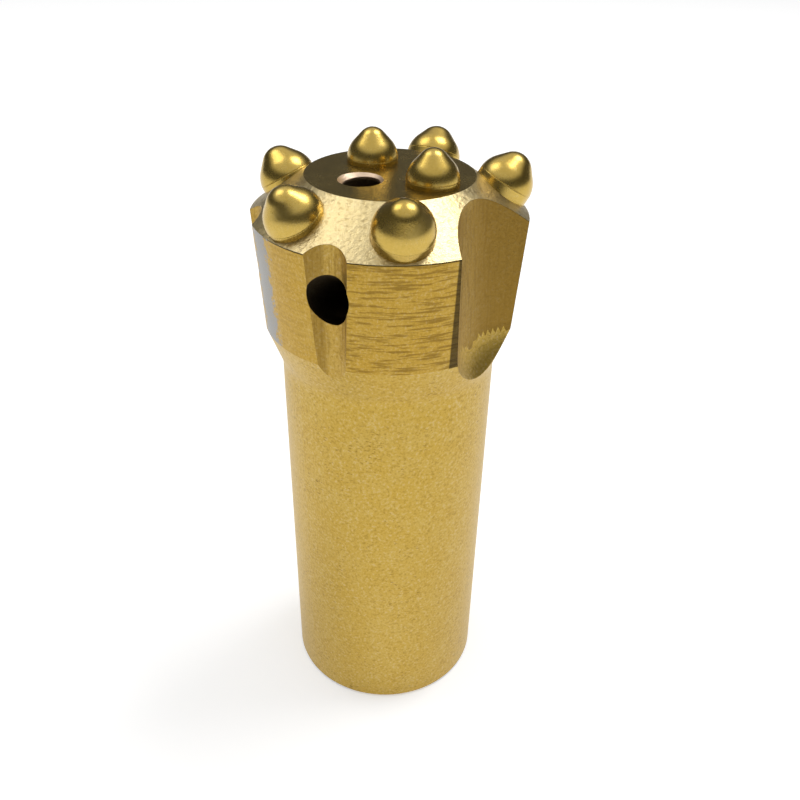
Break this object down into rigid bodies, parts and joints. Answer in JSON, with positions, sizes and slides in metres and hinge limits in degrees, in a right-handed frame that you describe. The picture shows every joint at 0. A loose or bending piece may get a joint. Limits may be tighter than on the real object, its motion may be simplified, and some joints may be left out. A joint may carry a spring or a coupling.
{
  "type": "button drill bit",
  "caption": "Threaded rock-drilling bit: round steel skirt with a rod socket, tapered fluted head, flushing holes and pressed-in domed carbide buttons.",
  "frame": {"origin": "on the bit's axis, at the open end of the skirt that the bit stands on", "axes": "+Z along the bit's axis towards the drilling face; +X towards the gauge button that stands between the two neighbouring flushing grooves; +Y completes the right hand"},
  "size_m": [0.0467, 0.0456, 0.1124],
  "materials": {
    "body_paint": "matt gold bronze paint over machined steel",
    "button_paint": "satin gold bronze paint over ground carbide"
  },
  "bodies": {
    "root": {"bit_body": "body_paint", "gauge_button_1": "button_paint", "gauge_button_2": "button_paint", "gauge_button_3": "button_paint", "gauge_button_4": "button_paint", "gauge_button_5": "button_paint", "face_button_1": "button_paint", "face_button_2": "button_paint"}
  },
  "joints": []
}
